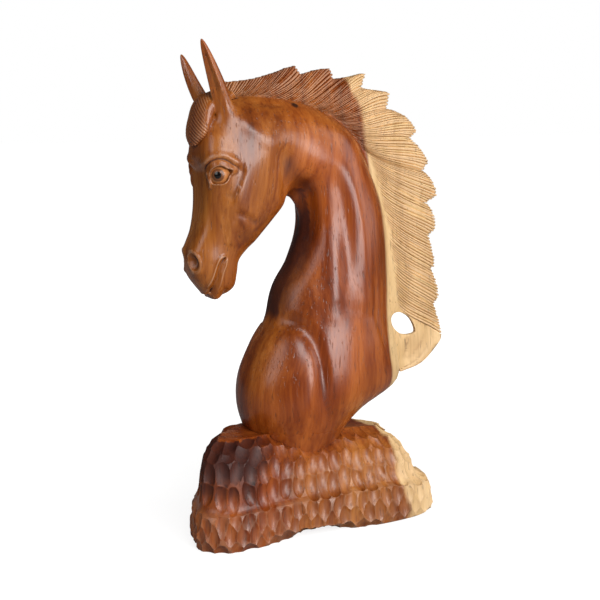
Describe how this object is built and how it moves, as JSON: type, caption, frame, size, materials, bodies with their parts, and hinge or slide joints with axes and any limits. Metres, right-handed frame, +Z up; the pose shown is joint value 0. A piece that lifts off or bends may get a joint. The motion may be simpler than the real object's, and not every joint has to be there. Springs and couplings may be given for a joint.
{
  "type": "carved wooden horse head sculpture",
  "caption": "Arched horse head and neck with a cut-out mane and a gouge-cut foot, carved from a single log of two-tone hardwood, for standing on a shelf or table.",
  "frame": {"origin": "middle of the object's box, on the surface that the foot stands on", "axes": "+Z up, the horse faces -X, Y = 0 is the middle plane of the head and neck"},
  "size_m": [0.318, 0.1543, 0.4949],
  "materials": {
    "carved_hardwood": "polished reddish-brown heartwood with cream sapwood along the mane, clear satin coat"
  },
  "bodies": {
    "root": {"horse_head_carving": "carved_hardwood"}
  },
  "joints": []
}
